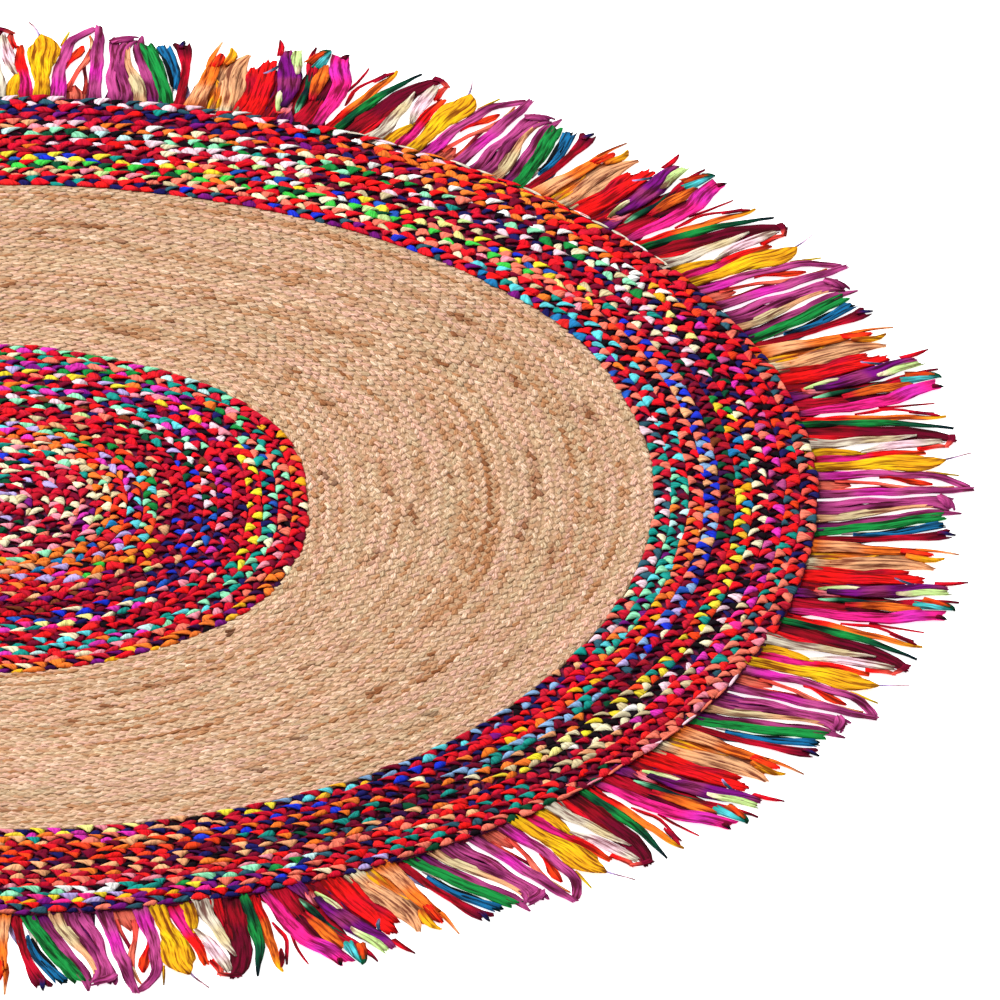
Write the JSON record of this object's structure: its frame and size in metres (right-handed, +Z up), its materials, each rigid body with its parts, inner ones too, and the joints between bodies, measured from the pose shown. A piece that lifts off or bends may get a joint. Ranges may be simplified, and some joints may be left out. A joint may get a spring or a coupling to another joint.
{
  "type": "braided rug",
  "caption": "Round floor rug of coiled braid: a rag-braid medallion, a plain jute field, a multicoloured rag-braid border and a fringe of torn rag strips.",
  "frame": {"origin": "middle of the rug on the floor, on its flat underside", "axes": "+Z up out of the rug's face, +X and +Y along the floor, with the picture's right side at +X and its far side at +Y"},
  "size_m": [1.8116, 1.8099, 0.0092],
  "materials": {
    "rag_braid": "matt woven cotton rag in mixed colours, braided in three strands",
    "jute_braid": "matt natural jute yarn, braided in three strands, with darker flecks",
    "rag_fringe": "matt torn cotton rag strips in mixed colours, crumpled and frayed"
  },
  "bodies": {
    "root": {"medallion": "rag_braid", "jute_field": "jute_braid", "border": "rag_braid", "fringe": "rag_fringe"}
  },
  "joints": []
}
